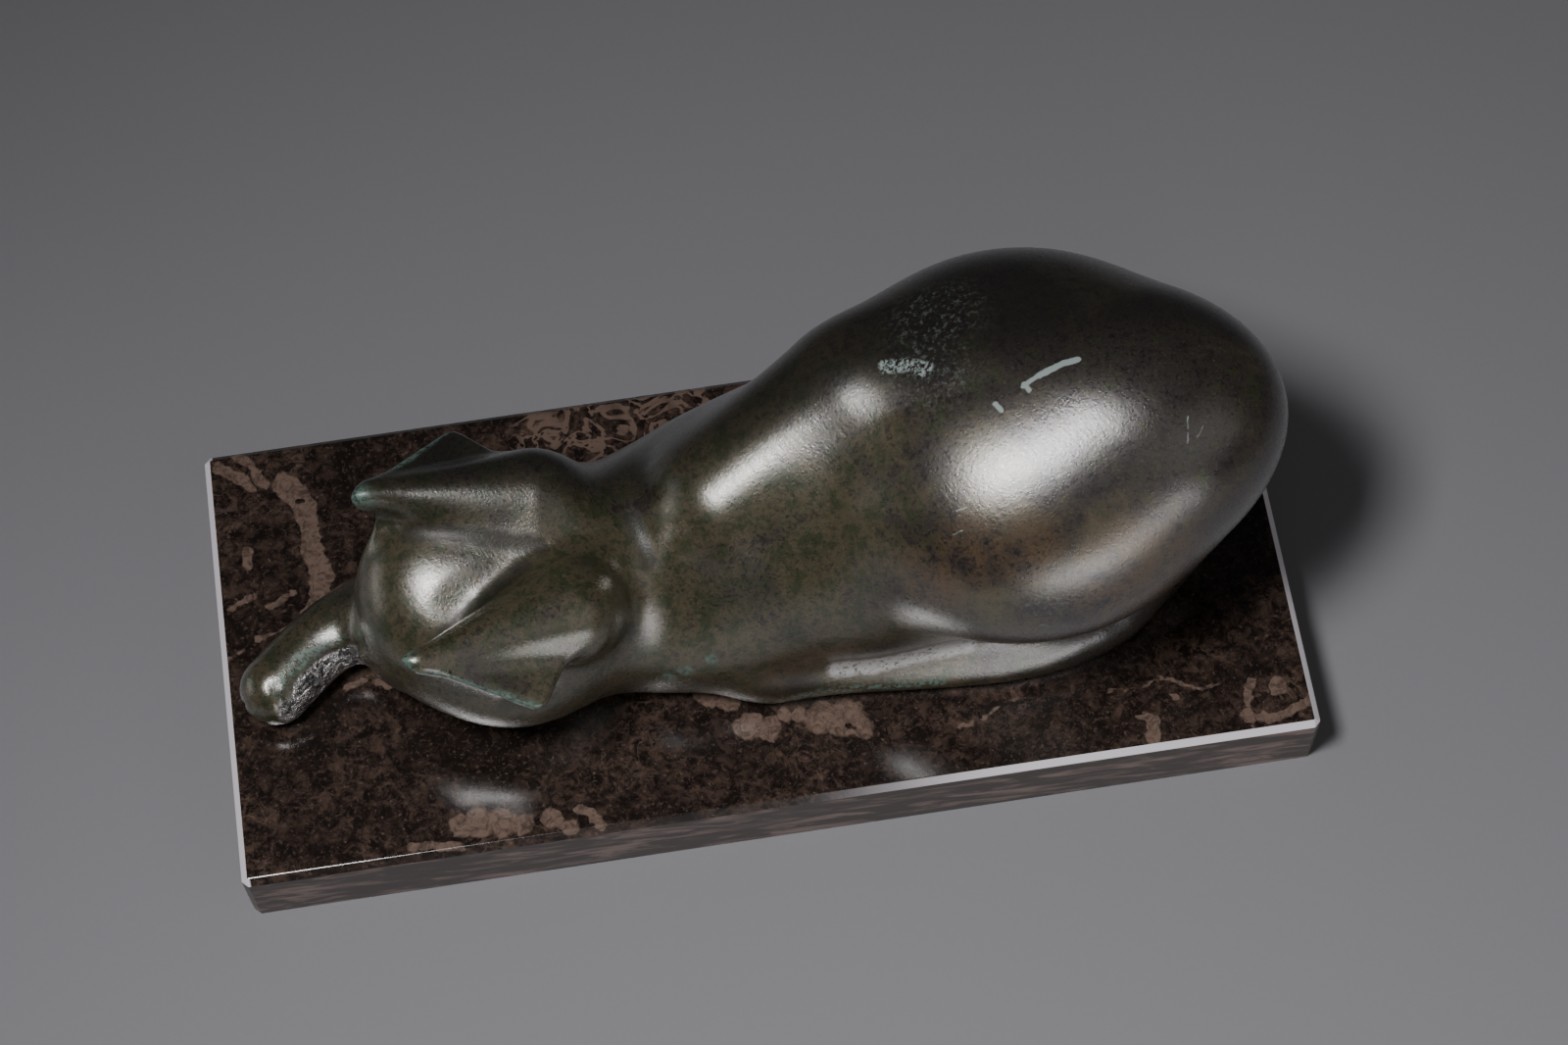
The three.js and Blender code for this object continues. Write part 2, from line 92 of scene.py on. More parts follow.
# The head's forms, in its own forward, side and height.
HEAD_PIVOT = (-35.0, -1.0)
HEAD_TURN = 9.8
BROW = dict(middle=(37.9, 0.0, 52.1), radii=(16.6, 21.0, 23.8))
CROWN = dict(middle=(19.3, 0.0, 50.0), radii=(24.0, 24.4, 25.0))
CHEEK = dict(middle=(20.8, 12.7, 42.9), radii=(20.7, 17.2, 17.3))
MUZZLE = ((34, 0, 42, 15), (45.3, 0, 34.5, 9.6))
EAR_SHIFT = 3.5
EAR_CORNERS = ((50.8, 19.8, 84.8), (21.8, 37.1, 69.6), (7.5, 20.0, 70.0), (32.7, 14.0, 48.0))
EAR_SOFTEN = 2.8
EAR_SWELL = 0.2
EAR_FOLD = ((44.2, 20.8, 80.2, 2.5), (10, 14.5, 67.0, 11.5))
EAR_HOLLOW = ((41.5, 25.5, 71.5, 3.4), (34.5, 31, 65.5, 5.4))
FOREHEAD = dict(middle=(27.0, -18.1, 3.1), radius=75.0, fillet=7.0)
VALLEYS = (
    ((52, 12, 83.5, 7), (34, 14.0, 81.2, 8)),
    ((34, 14.0, 81.2, 8), (10, 4.0, 83.6, 8)),
    ((50, -12, 86, 8), (0, -9, 89, 8)),
)
VALLEY_FILLET = 5.0

# Grooves and swellings that a step closer shows, each with its width, its depth and its bent line. A
# swelling's depth is negative. Those of the face are seen from in front, as 0, side and height.
TOE_GROOVES = (
    (0.9, 0.7, ((-2.7, -20.6, 28.8), (-1.1, -21.1, 21.2))),
    (0.9, 0.7, ((-2.7, -24.8, 28.8), (-1.1, -24.3, 21.2))),
)
PAW_GROOVES = (
    (0.9, 0.7, ((-119.6, -13.7, 29.4), (-118.0, -13.2, 22.0))),
    (0.9, 0.7, ((-116.2, -18.0, 29.4), (-115.4, -16.6, 22.0))),
    (1.0, 0.7, ((-111.5, -13.5, 35.3), (-110.5, -17.2, 32.5), (-109.8, -19.3, 27.0))),
)
FACE_FROM = 40.0
FACE_FADE = 4.0
FACE_RELIEF = (
    (4.2, -1.0, ((0, 9.5, 49.6), (0, 11.5, 49.8))),
    (0.9, 0.9, ((0, 6.2, 50.6), (0, 10.0, 47.6), (0, 14.8, 50.4))),
    (2.4, -1.0, ((0, 0.0, 37.6), (0, 1.0, 37.8))),
    (0.9, 0.8, ((0, 1.6, 36.4), (0, 3.2, 37.2))),
    (0.9, 0.8, ((0, 0.0, 35.6), (0, 0.0, 32.4), (0, 3.4, 30.2), (0, 7.6, 31.4))),
)

# Widths of the fillets where forms meet.
FILLET = dict(knee=14, belly=10, hock=8, foot=4, haunches=9, fore=22, shoulder=6, chest=10, neck=10,
              foreleg=9, crown=14, cheek=9, muzzle=8, fold=3, ear=6, hollow=4, head=12, tail=5)

# How the solid's mesh is merged, paired and smoothed, and how far its points move at a time.
MERGE_METRES = 1e-7
PAIRING = dict(angle_face_threshold=math.radians(50), angle_shape_threshold=math.radians(70))
SMOOTHING_SHARES = (0.5, 0.5, 0.4, 0.3, 0.2)
PUSH_OUT = 0.35
SETTLE_ROUNDS = 2
LONGEST_MOVE = 1.0
SLOPE_REACH = 0.05
LEAST_SLOPE = 1e-6
SOLE_DEPTH = 0.4
ON_SLAB = 0.01
TINY = 1e-9

# The photograph's camera, in millimetres and degrees.
CAMERA = dict(target=(10.264, 15.385, 20.0), azimuth=-5.656, elevation=65.003, roll=-3.191,
              distance=826.149, lens=80.0, sensor=36.0)

# Places and targets of the softboxes in millimetres, their sizes in metres and spreads in degrees.
SOFTBOXES = dict(
    main=dict(place=(-284, -202, 949), target=(60, -340, 0), size=(0.22, 0.17), tint=(1.0, 0.985, 1.0),
              spread=90),
    side=dict(place=(240, -850, 105), target=(240, 0, 105), size=(0.52, 0.2), tint=(1.0, 0.99, 1.0)),
    right=dict(place=(560, -560, 720), target=(40, 0, 40), size=(0.9, 0.7), tint=(1.0, 0.97, 0.95)),
    left=dict(place=(-1050, 200, 150), target=(-40, 0, 60), size=(0.6, 0.24), tint=(1.0, 0.99, 1.0)),
)
FLOOR = dict(segments=96, radius=3.0)

# The chamfer's width is this many times that of the small easing on every edge of the slab.
EASING = 8


def ellipsoid(points, middle, radii, pitch=0.0, turn=0.0, taper=0.0):
    """Signed distance, nearly, to an ellipsoid that narrows towards its raised end."""
    offset = points - np.array(middle)
    cos_turn, sin_turn = math.cos(math.radians(turn)), math.sin(math.radians(turn))
    cos_pitch, sin_pitch = math.cos(math.radians(pitch)), math.sin(math.radians(pitch))
    ahead = offset[:, 0] * cos_turn + offset[:, 1] * sin_turn
    across = offset[:, 1] * cos_turn - offset[:, 0] * sin_turn
    along = ahead * cos_pitch + offset[:, 2] * sin_pitch
    up = offset[:, 2] * cos_pitch - ahead * sin_pitch
    narrowing = 1 - taper * along
    shares = np.stack((along / radii[0], across / (radii[1] * narrowing), up / (radii[2] * narrowing)))
    near = np.sqrt((shares**2).sum(0))
    steep = np.sqrt(((shares / np.array(radii)[:, None]) ** 2).sum(0))
    return near * (near - 1) / np.maximum(steep, TINY)


def limb(points, start, end):
    """Signed distance to a tapered limb between two balls, each x, y, z and radius."""
    start, end = np.array(start, float), np.array(end, float)
    run = end[:3] - start[:3]
    length = np.linalg.norm(run)
    offset = points - start[:3]
    along = offset @ run / length
    across = np.sqrt(np.maximum((offset**2).sum(1) - along**2, 0))
    narrowing = (start[3] - end[3]) / length
    lean = math.sqrt(1 - narrowing**2)
    place = lean * along - narrowing * across
    cone = lean * across + narrowing * along - start[3]
    first_ball = np.hypot(across, along) - start[3]
    last_ball = np.hypot(across, along - length) - end[3]
    return np.where(place < 0, first_ball, np.where(place > lean * length, last_ball, cone))


def curve_point(balls, place):
    """A point on the centripetal curve through the balls, place running from 0 to 1."""
    spans = len(balls) - 1
    index = min(spans - 1, int(place * spans))
    share = place * spans - index
    middle = [np.array(ball[:3], float) for ball in balls]
    before = middle[index - 1] if index > 0 else 2 * middle[0] - middle[1]
    after = middle[index + 2] if index + 2 <= spans else 2 * middle[spans] - middle[spans - 1]
    knots = (before, middle[index], middle[index + 1], after)
    gaps = [max(np.linalg.norm(b - a) ** 0.5, TINY) for a, b in zip(knots[:-1], knots[1:])]
    slope_in = ((knots[1] - knots[0]) / gaps[0] - (knots[2] - knots[0]) / (gaps[0] + gaps[1])
                + (knots[2] - knots[1]) / gaps[1]) * gaps[1]
    slope_out = ((knots[2] - knots[1]) / gaps[1] - (knots[3] - knots[1]) / (gaps[1] + gaps[2])
                 + (knots[3] - knots[2]) / gaps[2]) * gaps[1]
    cubic = 2 * knots[1] - 2 * knots[2] + slope_in + slope_out
    square = -3 * knots[1] + 3 * knots[2] - 2 * slope_in - slope_out
    return knots[1] + share * (slope_in + share * (square + share * cubic))


def bent_limb(points, balls, steps=3):
    """Signed distance to a limb through several balls, along a smooth curve."""
    count = steps * (len(balls) - 1)
    places = [i / count for i in range(count + 1)]
    radii = np.interp(places, np.linspace(0, 1, len(balls)), [ball[3] for ball in balls])
    stops = [(*curve_point(balls, place), radius) for place, radius in zip(places, radii)]
    return np.min([limb(points, a, b) for a, b in zip(stops[:-1], stops[1:])], axis=0)


def join(first, second, fillet):
    """Joins two fields with a fillet about that wide."""
    share = np.maximum(fillet - np.abs(first - second), 0) / fillet
    return np.minimum(first, second) - share**2 * fillet / 4


def cut(body, tool, fillet):
    """Takes the tool out of the body, with a softened edge."""
    return -join(-body, tool, fillet)


def wedge(points, corners, soften):
    """A solid between four corners, with softened edges."""
    corners = np.array(corners)
    inside = corners.mean(0)
    field = None
    for left_out in (3, 2, 1, 0):
        face = np.delete(corners, left_out, 0)
        normal = np.cross(face[1] - face[0], face[2] - face[0])
        normal /= np.linalg.norm(normal)
        if normal @ (inside - face[0]) > 0:
            normal = -normal
        side = (points - face[0]) @ normal
        field = side if field is None else -join(-field, -side, soften)
    return field


def head_places(points):
    """World places as the head's forward, side (towards the near side) and height."""
    cos, sin = math.cos(math.radians(HEAD_TURN)), math.sin(math.radians(HEAD_TURN))
    dx = points[:, 0] - HEAD_PIVOT[0]
    dy = points[:, 1] - HEAD_PIVOT[1]
    return np.stack((-dx * cos - dy * sin, dx * sin - dy * cos, points[:, 2]), 1)


def folded(places, middle=0.0):
    """Both sides of a middle plane laid onto one."""
    return np.stack((places[:, 0], np.abs(places[:, 1] - middle), places[:, 2]), 1)


def relief(points, features):
    """How far grooves along bent lines lower the surface, and swellings raise it."""
    lowered = 0.0
    for width, depth, line in features:
        away = np.min([limb(points, (*a, 0.0), (*b, 0.0)) for a, b in zip(line[:-1], line[1:])], axis=0)
        lowered = lowered + depth * np.exp(-((away / width) ** 2))
    return lowered


def face_relief(places):
    """The closed eyes, the nose and the mouth, which fade out behind the brow."""
    seen = folded(places)
    seen[:, 0] = 0.0
    return np.clip((places[:, 0] - FACE_FROM) / FACE_FADE, 0, 1) * relief(seen, FACE_RELIEF)


def head_field(points):
    """The skull with its flattened forehead and its ears."""
    places = head_places(points)
    skull_places = folded(places)
    skull = join(ellipsoid(skull_places, **BROW), ellipsoid(skull_places, **CROWN), FILLET["crown"])
    skull = join(skull, ellipsoid(skull_places, **CHEEK), FILLET["cheek"])
    skull = join(skull, limb(skull_places, *MUZZLE), FILLET["muzzle"])
    above = np.linalg.norm(places - np.array(FOREHEAD["middle"]), axis=1) - FOREHEAD["radius"]
    skull = cut(skull, -above, FOREHEAD["fillet"])
    for valley in VALLEYS:
        skull = cut(skull, limb(places, *valley), VALLEY_FILLET)
    ear_places = folded(places, EAR_SHIFT)
    ear = wedge(ear_places, EAR_CORNERS, EAR_SOFTEN) - EAR_SWELL
    ear = join(ear, limb(ear_places, *EAR_FOLD), FILLET["fold"])
    head = join(skull, ear, FILLET["ear"])
    return cut(head, limb(ear_places, *EAR_HOLLOW), FILLET["hollow"]) + face_relief(places)


def hindquarters_field(points):
    """The rump and the hind legs, which mirror each other in the mid-plane."""
    near_half = points.copy()
    near_half[:, 1] = MID_Y - np.abs(points[:, 1] - MID_Y)
    leg = join(ellipsoid(near_half, **THIGH), ellipsoid(near_half, **KNEE), FILLET["knee"])
    leg = join(leg, ellipsoid(near_half, **BELLY), FILLET["belly"])
    leg = join(leg, ellipsoid(near_half, **HOCK), FILLET["hock"])
    foot = bent_limb(near_half, HIND_FOOT)
    facing = np.array(FOOT_FACET["facing"])
    outside = (near_half - np.array(FOOT_FACET["middle"])) @ facing
    foot = cut(foot, -outside, FOOT_FACET["fillet"]) + relief(near_half, TOE_GROOVES)
    leg = join(leg, foot, FILLET["foot"])
    return join(ellipsoid(points, **RUMP), leg, FILLET["haunches"])


def forequarters_field(points):
    """The back, the chest, the neck and the forelegs."""
    field = join(limb(points, *BACK), limb(points, *SHOULDER), FILLET["shoulder"])
    field = join(field, ellipsoid(points, **CHEST), FILLET["chest"])
    field = join(field, limb(points, *NECK), FILLET["neck"])
    field = join(field, bent_limb(points, NEAR_FORELEG), FILLET["foreleg"])
    paw = bent_limb(points, FAR_FORELEG) + relief(points, PAW_GROOVES)
    return join(field, paw, FILLET["foreleg"])


def cat_field(points):
    """Negative inside the bronze, and about the distance to its surface in millimetres."""
    field = join(hindquarters_field(points), forequarters_field(points), FILLET["fore"])
    field = join(field, head_field(points), FILLET["head"])
    return join(field, bent_limb(points, TAIL), FILLET["tail"])


def slope(points, value):
    """The field's slope at points where its value is known."""
    reach = SLOPE_REACH
    return np.stack([(cat_field(points + reach * axis) - value) / reach for axis in np.eye(3)], 1)


def settle(points, grounded, rounds):
    """Moves points onto the casting's surface. Those under the feet stay on the slab."""
    for _ in range(rounds):
        value = cat_field(points)
        step = slope(points, value)
        step[grounded, 2] = 0
        squared = np.maximum((step**2).sum(1), LEAST_SLOPE)
        move = np.clip(value / squared, -LONGEST_MOVE, LONGEST_MOVE)
        sole = grounded & (value < -SOLE_DEPTH)
        move[sole] = 0
        points = points - move[:, None] * step
        points[grounded, 2] = GROUND
        points[:, 2] = np.maximum(points[:, 2], GROUND)
    return points


def relax(points, edges, share):
    """Moves each point towards the middle of its neighbours."""
    count = len(points)
    ends = np.concatenate((edges[:, 0], edges[:, 1]))
    others = np.concatenate((edges[:, 1], edges[:, 0]))
    total = np.bincount(ends, minlength=count)
    middle = np.stack([np.bincount(ends, points[others, k], count) / total for k in range(3)], 1)
    return points + share * (middle - points)


def finer_copy(node, levels):
    """A copy of a CAD node's mesh with its doubles merged, its triangles paired and cut finer."""
    form = bmesh.new()
    form.from_mesh(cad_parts[node].data)
    bmesh.ops.remove_doubles(form, verts=form.verts, dist=MERGE_METRES)
    bmesh.ops.join_triangles(form, faces=form.faces, **PAIRING)
    for _ in range(levels):
        bmesh.ops.subdivide_edges(form, edges=form.edges, cuts=1, use_grid_fill=True)
    return form


def finished(form, name, material):
    """Turns a bmesh into a linked piece with its material."""
    mesh = bpy.data.meshes.new(name)
    form.to_mesh(mesh)
    form.free()
    piece = bpy.data.objects.new(name, mesh)
    bpy.context.scene.collection.objects.link(piece)
    mesh.materials.append(material)
    return piece


def mesh_points(mesh):
    """A mesh's points, in millimetres."""
    flat = np.zeros(len(mesh.vertices) * 3)
    mesh.vertices.foreach_get("co", flat)
    return flat.reshape(-1, 3) * PER_METRE


def put_points(mesh, points):
    """Gives a mesh its points, which are in millimetres."""
    mesh.vertices.foreach_set("co", (points * MM).astype(np.float32).ravel())
    mesh.update()


def mesh_normals(mesh):
    """The outward direction at each of a mesh's points."""
    flat = np.zeros(len(mesh.vertices) * 3, np.float32)
    mesh.vertex_normals.foreach_get("vector", flat)
    return flat.reshape(-1, 3).astype(float)


def sculpt_cat(mesh):
    """Settles the copied mesh onto the casting's forms, and draws its corners out to the rims."""
    edges = np.zeros(len(mesh.edges) * 2, int)
    mesh.edges.foreach_get("vertices", edges)
    edges = edges.reshape(-1, 2)
    points = mesh_points(mesh)
    low, high = points.min(0), points.max(0)
    grounded = points[:, 2] < GROUND + ON_SLAB
    for share in SMOOTHING_SHARES:
        points = relax(points, edges, share)
        points[grounded, 2] = GROUND
        put_points(mesh, points)
        points = points + mesh_normals(mesh) * PUSH_OUT * ~grounded[:, None]
        points = settle(points, grounded, SETTLE_ROUNDS)
    points = np.clip(settle(points, grounded, SETTLE_ROUNDS), low, high)
    put_points(mesh, points)


# Which inputs of a mixing node hold the two values, and which output holds the mixture.
MIX_SOCKETS = dict(RGBA=(6, 7, 2), FLOAT=(2, 3, 0))
NOISE_MIDDLE = 0.5
WARP_DETAIL = 2.0


class Wiring:
    """Adds nodes to one material and links them. The look names its noises, fades and strengths."""

    def __init__(self, name, look):
        self.look = look
        self.material = bpy.data.materials.new(name)
        self.material.use_nodes = True
        self.tree = self.material.node_tree
        self.shader = self.tree.nodes["Principled BSDF"]
        self.places = self.node("TexCoord").outputs["Object"]

    def node(self, kind, settings=None, **inputs):
        made = self.tree.nodes.new("ShaderNode" + kind)
        for name, value in (settings or {}).items():
            setattr(made, name, value)
        for name, value in inputs.items():
            self.feed(made.inputs[name.replace("_", " ")], value)
        return made

    def feed(self, socket, value):
        if isinstance(value, bpy.types.NodeSocket):
            self.tree.links.new(value, socket)
        else:
            socket.default_value = value

    def finish(self, **inputs):
        for name, value in inputs.items():
            self.feed(self.shader.inputs[name.replace("_", " ")], value)
        return self.material

    def calculate(self, operation, first, second=0.0):
        made = self.node("Math", dict(operation=operation))
        self.feed(made.inputs[0], first)
        self.feed(made.inputs[1], second)
        return made.outputs[0]

    def plus(self, first, second):
        return self.calculate("ADD", first, second)

    def times(self, first, second):
        return self.calculate("MULTIPLY", first, second)

    def highest(self, *shares):
        """The greatest of several shares."""
        best = shares[0]
        for share in shares[1:]:
            best = self.calculate("MAXIMUM", best, share)
        return best

    def vector(self, operation, *values):
        """The node of a vector calculation, with its values in order."""
        made = self.node("VectorMath", dict(operation=operation))
        for socket, value in zip(made.inputs, values):
            self.feed(socket, value)
        return made

    def axis(self, name, places=None):
        """One coordinate of places, in metres."""
        return self.node("SeparateXYZ", Vector=places or self.places).outputs[name]

    def noise(self, size, detail, roughness, distortion=0.0, places=None):
        """Soft noise from 0 to 1, its lumps about size millimetres across."""
        return self.node("TexNoise", Vector=places or self.places, Scale=PER_METRE / size, Detail=detail,
                         Roughness=roughness, Distortion=distortion).outputs["Fac"]

    def pattern(self, name, places=None):
        """The look's noise of that name."""
        return self.noise(*self.look["noises"][name], places=places)

    def step(self, value, low, high):
        """0 below low and 1 above high, smooth between them. High may be the lower one."""
        return self.node("MapRange", dict(interpolation_type="SMOOTHSTEP"), Value=value, From_Min=low,
                         From_Max=high).outputs["Result"]

    def fade(self, value, name):
        """0 where the look's layer of that name begins, and 1 where it is full."""
        return self.step(value, *self.look["fades"][name])

    def faint(self, share, name):
        """A share at the strength that the look gives under that name."""
        return self.times(share, self.look["strengths"][name])

    def mix(self, kind, share, low, high):
        """Mixes two values of one kind."""
        first, second, mixture = MIX_SOCKETS[kind]
        made = self.node("Mix", dict(data_type=kind))
        self.feed(made.inputs[0], share)
        self.feed(made.inputs[first], low)
        self.feed(made.inputs[second], high)
        return made.outputs[mixture]

    def blend(self, share, low, high):
        """Mixes two colours."""
        return self.mix("RGBA", share, low, high)

    def level(self, share, low, high):
        """Mixes two numbers."""
        return self.mix("FLOAT", share, low, high)

    def stretched(self, scale, turn):
        """Object places, turned by degrees and then scaled, for brushed or bedded patterns."""
        return self.node("Mapping", dict(vector_type="TEXTURE"), Vector=self.places,
                         Rotation=[math.radians(angle) for angle in turn], Scale=scale).outputs["Vector"]

    def warped(self, places, size, amount):
        """Places pushed about by noise, amount in millimetres."""
        push = self.node("TexNoise", Vector=places, Scale=PER_METRE / size, Detail=WARP_DETAIL)
        centred = self.vector("SUBTRACT", push.outputs["Color"], (NOISE_MIDDLE,) * 3).outputs[0]
        return self.vector("MULTIPLY_ADD", centred, (2 * amount * MM,) * 3, places).outputs[0]

    def distance(self, places, point):
        """Distance from a point, in millimetres."""
        away = self.vector("DISTANCE", places, [value * MM for value in point])
        return self.times(away.outputs["Value"], PER_METRE)

    def near_line(self, places, start, end):
        """Distance from the line between two points, in millimetres."""
        start, end = Vector(start) * MM, Vector(end) * MM
        run = end - start
        offset = self.vector("SUBTRACT", places, start).outputs[0]
        along = self.vector("DOT_PRODUCT", offset, run / run.length_squared).outputs["Value"]
        share = self.calculate("MINIMUM", self.highest(along, 0.0), 1.0)
        foot = self.vector("MULTIPLY_ADD", share, run, start).outputs[0]
        return self.times(self.vector("DISTANCE", places, foot).outputs["Value"], PER_METRE)

    def lines(self, places, paths):
        """Distance from the nearest of several bent lines, in millimetres."""
        nearest = None
        for path in paths:
            for start, end in zip(path[:-1], path[1:]):
                away = self.near_line(places, start, end)
                nearest = away if nearest is None else self.calculate("MINIMUM", nearest, away)
        return nearest

    def spots(self, places, spots, fade=0.5):
        """1 inside any of the spots, each x, y, z and radius. A rim fades over that share of its radius."""
        return self.highest(*[
            self.step(self.distance(places, middle), (1 + fade) * radius, (1 - fade) * radius)
            for *middle, radius in spots])

    def bump(self, height, depth, below=None):
        """A relief of that depth in millimetres."""
        made = self.node("Bump", Height=height, Distance=depth * MM, Strength=1.0)
        if below is not None:
            self.feed(made.inputs["Normal"], below)
        return made.outputs["Normal"]


# Marks on the bronze, in millimetres. Scrapes to pale metal have a half width and bent lines, and a
# spot is x, y, z and radius.
SCRAPES = (
    (0.75, (
        ((65.0, 0.3, 107.4), (67.2, 0.9, 107.9), (70.5, 1.7, 108.6), (73.7, 1.8, 109.3)),
    )),
    (0.55, (
        ((61.5, -1.2, 106.3), (63.2, -0.3, 106.9), (65.0, 0.3, 107.4)),
        ((61.7, -0.7, 106.3), (62.5, -2.4, 106.6)),
        ((55.1, -3.5, 104.5), (56.0, -5.2, 104.6)),
    )),
    (0.14, (
        ((43.5, -22.8, 95.5), (45.6, -22.9, 96.5)),
        ((42.1, -26.8, 92.2), (44.2, -26.6, 93.5)),
        ((94.2, -14.7, 108.1), (93.5, -19.6, 105.6)),
        ((98.5, -14.9, 107.0), (95.7, -18.7, 105.8)),
    )),
)
SCRAPE_EDGE = 0.15
STREAKED_PATCH = (((34.3, 12.6, 97.7), (38.4, 11.7, 99.2), (42.3, 9.4, 100.5)),)
SPECKLED_AREA = (
    (44.0, 8.0, 99.0, 9.0), (47.0, 22.0, 98.0, 10.0), (61.0, -39.5, 81.5, 5.0), (58.6, -43.2, 74.0, 3.0),
)
EAR_RIMS = (
    ((-80.5, -32.3, 83.0), (-66.0, -38.0, 76.5), (-51.0, -43.5, 69.5)),
    ((-86.5, 6.4, 83.0), (-74.0, 16.5, 76.5), (-63.0, 27.2, 69.5)),
)
EAR_TIPS = ((-79.5, -31.5, 82.5, 4.0), (-86.0, 6.4, 82.5, 5.0))
FOOT_EDGE = (((-5.6, -30.7, 27.0), (39.5, -33.3, 27.5)),)
# Spots at the hind toe, darkened as painted shade.
SHADED_TOE = ((0.5, -28.0, 30.5, 5.0), (7.0, -29.5, 31.0, 5.0))
# The strip of bright metal along the hind foot is a painted highlight, laid where the light glances off the
# foot.
FOOT_SHEEN_STRIP = (((16.5, -29.8, 34.4), (24.0, -30.0, 34.0), (33.3, -29.8, 35.0), (46.0, -29.0, 36.4)),)
# Lines along the head's valleys and the neck's crease, darkened as painted shade and made matte.
SHADED_RECESSES = (
    ((-74.7, 0.4, 74.7), (-69.2, -0.5, 75.9), (-60.7, -2.7, 76.0), (-46.2, -6.3, 73.7)),
    ((-70.5, -23.5, 69.0), (-63.0, -18.2, 71.0), (-57.0, -14.6, 72.5), (-50.8, -10.3, 73.5)),
    ((-25.2, -0.8, 68.0), (-22.8, -10.1, 65.3)),
)
VERDIGRIS = (
    (-22.0, -28.3, 41.2, 1.6), (-18.1, -28.4, 43.6, 1.8), (-12.1, -28.2, 47.0, 1.4),
    (-36.7, -27.3, 58.7, 1.0), (-39.0, -28.5, 60.5, 0.8),
)
WORN_BROWN = (
    (47.0, -31.0, 92.0, 9.0), (57.0, -33.0, 93.5, 8.0), (37.0, -32.0, 82.0, 8.0), (4.0, -30.0, 35.5, 6.0),
    (80.0, -38.0, 84.0, 15.0),
)
PAW_STRIP = (((-91.0, -9.5, 33.0), (-97.0, -10.5, 31.5), (-103.5, -12.5, 30.5), (-109.5, -15.5, 28.5)),)
PAW_EDGE = (
    ((-90.6, -6.2, 40.6), (-96.8, -5.0, 36.6), (-103.5, -7.5, 35.7), (-109.0, -11.7, 35.0),
     (-111.0, -14.4, 33.4)),
    ((-96.4, -13.4, 24.0), (-103.0, -16.0, 23.0), (-109.0, -18.0, 22.5)),
)

# The bronze's noises are size in millimetres, detail, roughness and distortion. A fade is where a
# layer begins and where it is full: on a noise from 0 to 1, at a place along or across the cat in
# metres, or at a distance from its mark in millimetres. The depths of the relief are in millimetres.
BRONZE_LOOK = dict(
    noises=dict(
        cloud=(24, 5, 0.65, 0.4),
        mottle=(4.5, 6, 0.75, 0.3),
        fine=(1.1, 3, 0.75),
        grain=(0.6, 3, 0.75),
        pitting=(2.3, 4, 0.62, 0.6),
        streaks=(1.3, 4, 0.7, 0.0),
    ),
    fades=dict(
        head_end=(0.075, 0.005),
        far_side_shade=(-0.004, 0.016),
        olive=(0.46, 0.66),
        moss=(0.52, 0.64),
        brown=(0.36, 0.6),
        sparks=(0.56, 0.78),
        dark_mottle=(0.46, 0.36),
        dark_grain=(0.44, 0.3),
        dark_fine=(0.48, 0.36),
        dark_cloud=(0.62, 0.4),
        recess_shade=(3.6, 1.2),
        ear_rim=(1.9, 0.7),
        low_edge=(2.4, 0.6),
        low_edge_breaks=(0.38, 0.6),
        verdigris=(0.34, 0.62),
        paw_strip=(4.6, 3.6),
        silver=(0.42, 0.52),
        foot_sheen=(3.6, 1.6),
        foot_sheen_breaks=(0.28, 0.5),
        speckles=(0.52, 0.66),
        streaked_patch=(2.2, 1.2),
        streaked_patch_breaks=(0.44, 0.56),
        dulled_grain=(0.3, 0.75),
    ),
    strengths=dict(head_olive=0.14, head_moss=0.06, sparks=0.4, dark_mottle=0.6, dark_grain=0.7,
                   dark_fine=0.75, far_side_shade=0.7, recess_shade=0.7, speckles=0.3),
)
BRONZE_RAGGED = dict(size=2.2, amount=0.8)
BRONZE_CRISP = dict(size=1.4, amount=0.35)
BRONZE_STREAKS = dict(scale=(1.0, 8.0, 1.0), turn=(0.0, 0.0, 28.0))
BRONZE_ROUGHNESS = dict(more_on_grain=0.1, rubbed_and_sheen=0.42, silver=0.22, matte=0.6)
BRONZE_METALLIC = dict(patina=0.36, rubbed_and_sheen=0.45, silver=0.95, dull=0.2)
BRONZE_RELIEF = dict(pits=1.6, streaks=0.045, grain=0.065)
BRONZE_COAT = dict(full=1.0, worn=0.1, ior=1.85)


